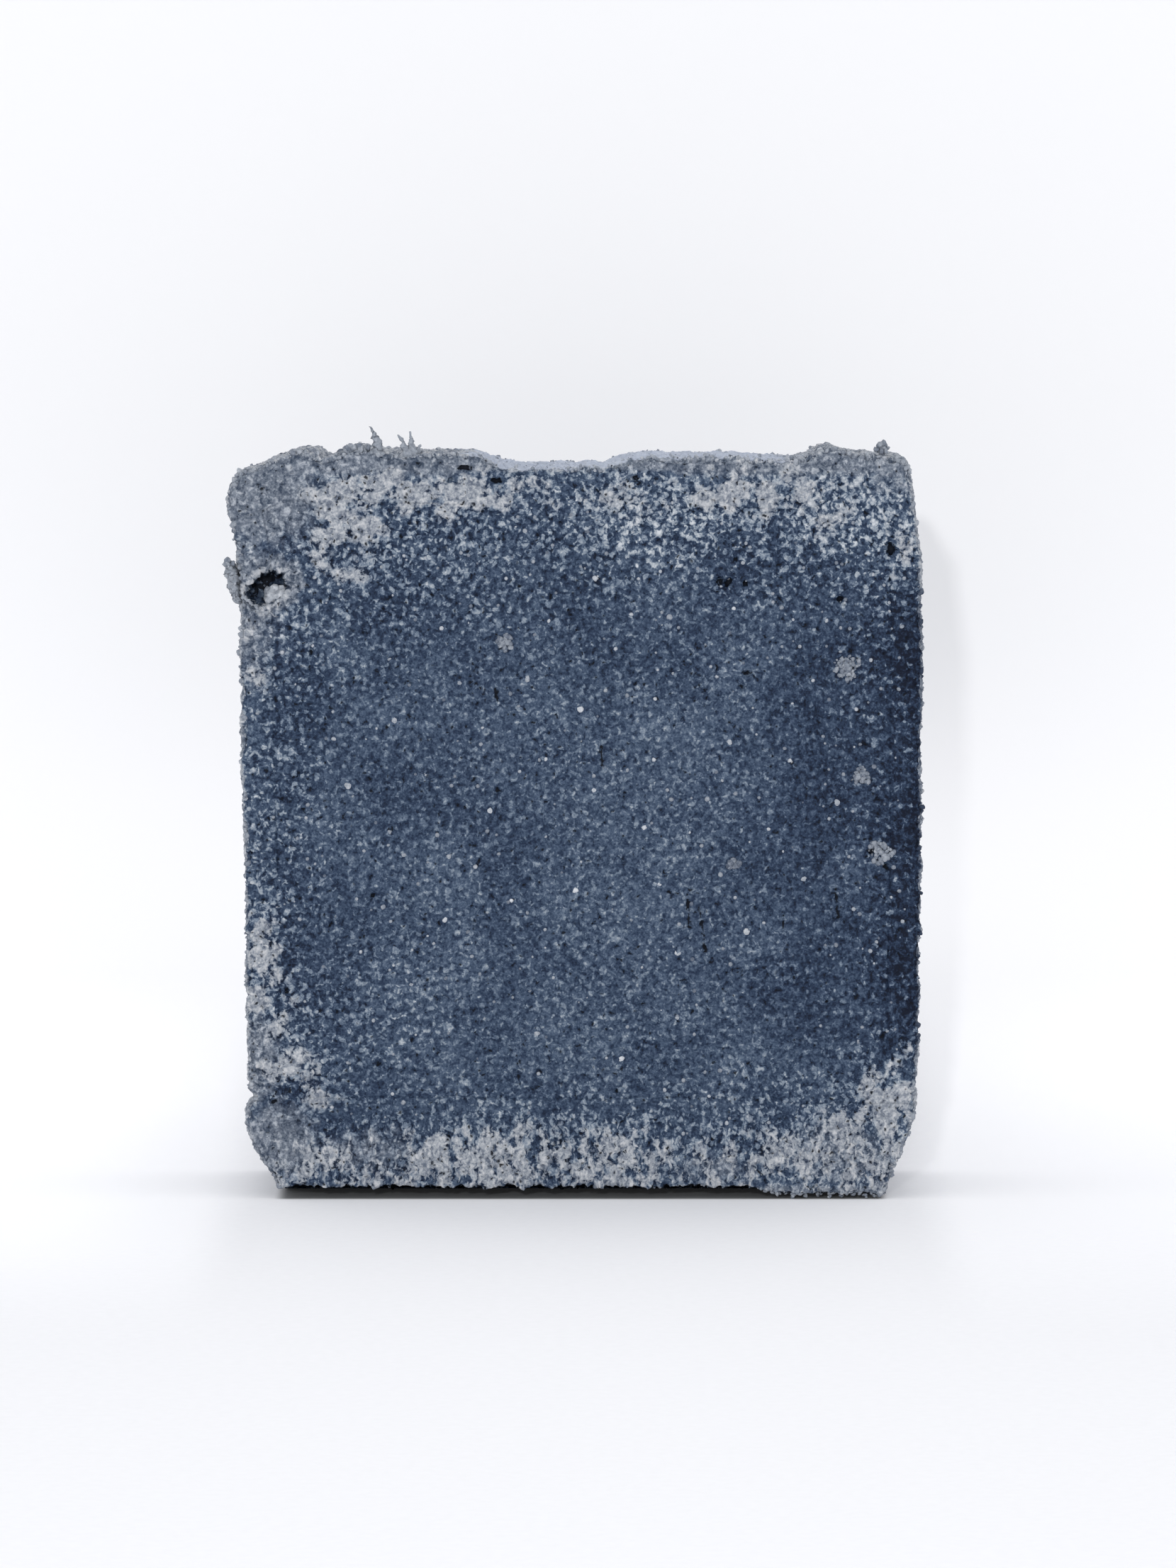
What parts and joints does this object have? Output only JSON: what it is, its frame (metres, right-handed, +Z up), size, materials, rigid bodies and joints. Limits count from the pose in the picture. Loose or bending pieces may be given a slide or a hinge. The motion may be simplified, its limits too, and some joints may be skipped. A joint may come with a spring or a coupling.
{
  "type": "charcoal soap bar",
  "caption": "Hand-cut charcoal soap bar, upright slab with a dark speckled core, pale crusted rind, furrowed top and worn lower corners, for washing.",
  "frame": {"origin": "on the base, in the middle of the bar's width and of its thickness", "axes": "+Z up, -Y out of the front cut face, +X to the right as the front face is looked at"},
  "size_m": [0.0723, 0.0252, 0.0798],
  "materials": {
    "core_soap": "matt, granular cut soap, dark slate blue with fine pale specks",
    "top_soap": "chalky, lacy ash-grey crust with dark pores",
    "rind_soap": "chalky, pitted grey rind over dark soap",
    "pale_soap": "chalky pale grey ash",
    "grains": "waxy pale grey granules"
  },
  "bodies": {
    "root": {"core": "core_soap", "top_rind": "top_soap", "base_rind": "rind_soap", "left_rind": "rind_soap", "right_rind": "rind_soap", "cavity_lump": "pale_soap", "torn_flap": "rind_soap", "flap_knob": "rind_soap", "tall_burr": "rind_soap", "forked_burr": "rind_soap", "burr_stubs": "rind_soap", "perched_crumb": "rind_soap", "foot_crumbs": "rind_soap", "ash_patches": "pale_soap", "front_grains": "grains", "back_grains": "grains"}
  },
  "joints": []
}
